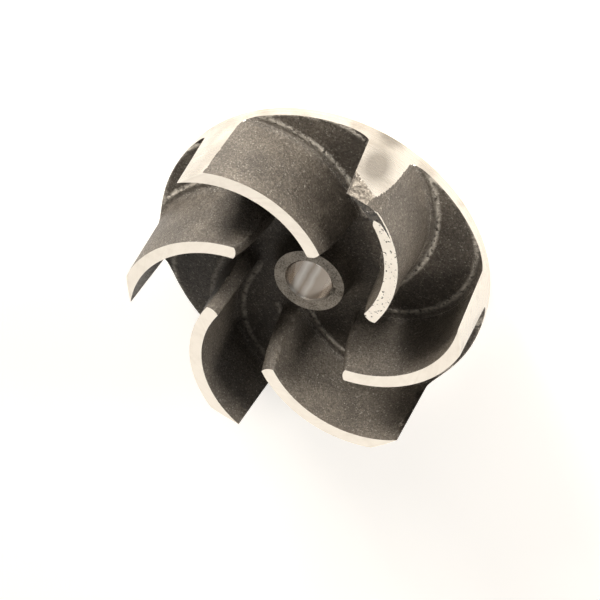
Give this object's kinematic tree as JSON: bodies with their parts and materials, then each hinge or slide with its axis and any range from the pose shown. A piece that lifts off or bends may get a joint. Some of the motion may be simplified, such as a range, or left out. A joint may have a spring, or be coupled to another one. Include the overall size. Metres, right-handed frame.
{
  "type": "pump impeller",
  "caption": "Semi-open centrifugal pump impeller: round back shroud with backward-curved vanes, central hub and a keyed bore.",
  "frame": {"origin": "on the bore axis at the back boss's face, which the part rests on", "axes": "+Z along the bore axis towards the eye, +X through the middle of the keyway"},
  "size_m": [0.165, 0.165, 0.0517],
  "materials": {
    "cast_iron": "as-cast sand surface, turned bright on the rim, vane edges and bore"
  },
  "bodies": {
    "root": {"impeller": "cast_iron"}
  },
  "joints": []
}
